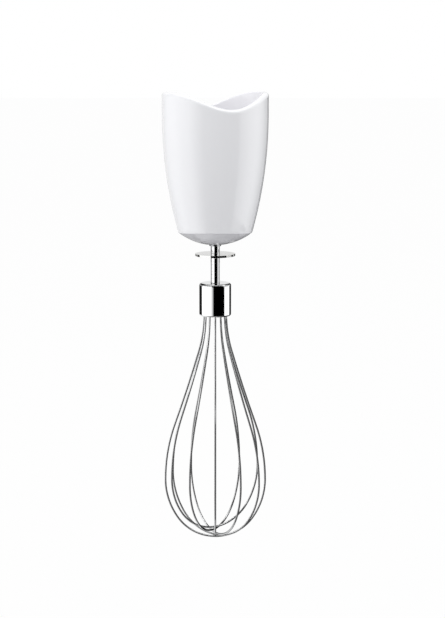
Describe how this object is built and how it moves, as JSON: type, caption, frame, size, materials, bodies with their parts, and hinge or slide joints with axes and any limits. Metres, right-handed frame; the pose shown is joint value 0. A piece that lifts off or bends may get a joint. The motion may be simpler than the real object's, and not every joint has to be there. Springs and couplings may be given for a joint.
{
  "type": "whisk attachment",
  "caption": "Blender whisk attachment: a cup-shaped planetary gearbox housing with a domed underside, and a push-in balloon whisk with shaft, splash disc and ferrule.",
  "frame": {"origin": "on the axis, at the ledge in the cup that the handle's nose rests on", "axes": "+Z along the axis, out of the cup's mouth; the whisk hangs towards -Z; +X and -Y as the front view shows them, with the rim's high points turned 19.1 degrees from X"},
  "size_m": [0.06, 0.06, 0.2597],
  "materials": {
    "shell_plastic": "polished white ABS",
    "cap_plastic": "polished white ABS, underside of the cup",
    "case_plastic": "moulded, as from the tool",
    "gear_plastic": "natural acetal",
    "dog_plastic": "glass-filled nylon",
    "core_plastic": "glass-filled nylon",
    "washer_plastic": "natural acetal",
    "seal_rubber": "moulded nitrile",
    "bush_bronze": "sintered bronze",
    "machined_steel": "turned",
    "spring_steel": "rolled spring steel",
    "plated_steel": "zinc plated",
    "chrome_steel": "polished stainless steel",
    "disc_steel": "satin stainless steel",
    "wire_steel": "bright-drawn stainless wire"
  },
  "bodies": {
    "housing": {"outer_shell": "shell_plastic", "bottom_cap": "cap_plastic", "gear_case": "case_plastic", "gear_cover": "case_plastic", "cover_gasket": "seal_rubber", "cover_screws": "plated_steel", "ring_gear": "gear_plastic", "input_bush": "bush_bronze", "output_bush_upper": "bush_bronze", "output_bush_lower": "bush_bronze", "output_seal": "seal_rubber", "cap_seal": "seal_rubber"},
    "carrier": {"planet_carrier": "machined_steel", "carrier_plate": "machined_steel", "planet_pins": "machined_steel", "output_hub": "machined_steel", "shaft_clip": "spring_steel", "hub_circlip": "spring_steel", "thrust_washer": "washer_plastic"},
    "input": {"drive_dog": "dog_plastic", "input_spindle": "machined_steel", "sun_gear": "machined_steel", "spindle_clip": "spring_steel"},
    "planet_1": {"planet_gear_1": "gear_plastic"},
    "planet_2": {"planet_gear_2": "gear_plastic"},
    "planet_3": {"planet_gear_3": "gear_plastic"},
    "whisk": {"whisk_shaft": "chrome_steel", "splash_disc": "disc_steel", "ferrule": "chrome_steel", "ferrule_core": "core_plastic", "wire_loop_1": "wire_steel", "wire_loop_2": "wire_steel", "wire_loop_3": "wire_steel", "wire_loop_4": "wire_steel", "wire_loop_5": "wire_steel", "wire_loop_6": "wire_steel"}
  },
  "joints": [
    {"name": "whisk_spin", "type": "hinge", "parent": "housing", "child": "carrier", "pos_m": [0, 0, 0], "axis": [0, 0, 1], "continuous": true},
    {"name": "input_spin", "type": "hinge", "parent": "housing", "child": "input", "pos_m": [0, 0, 0], "axis": [0, 0, 1], "continuous": true},
    {"name": "planet_1_spin", "type": "hinge", "parent": "carrier", "child": "planet_1", "pos_m": [0.009, 0, 0], "axis": [0, 0, 1], "continuous": true},
    {"name": "planet_2_spin", "type": "hinge", "parent": "carrier", "child": "planet_2", "pos_m": [-0.0045, 0.00779, 0], "axis": [0, 0, 1], "continuous": true},
    {"name": "planet_3_spin", "type": "hinge", "parent": "carrier", "child": "planet_3", "pos_m": [-0.0045, -0.00779, 0], "axis": [0, 0, 1], "continuous": true},
    {"name": "whisk_pull", "type": "slide", "parent": "carrier", "child": "whisk", "axis": [0, 0, -1], "range_m": [0, 0.031]}
  ],
  "couplings": [
    {"joint": "input_spin", "follows": "whisk_spin", "ratio": 6},
    {"joint": "planet_1_spin", "follows": "whisk_spin", "ratio": -2.5},
    {"joint": "planet_2_spin", "follows": "whisk_spin", "ratio": -2.5},
    {"joint": "planet_3_spin", "follows": "whisk_spin", "ratio": -2.5}
  ]
}
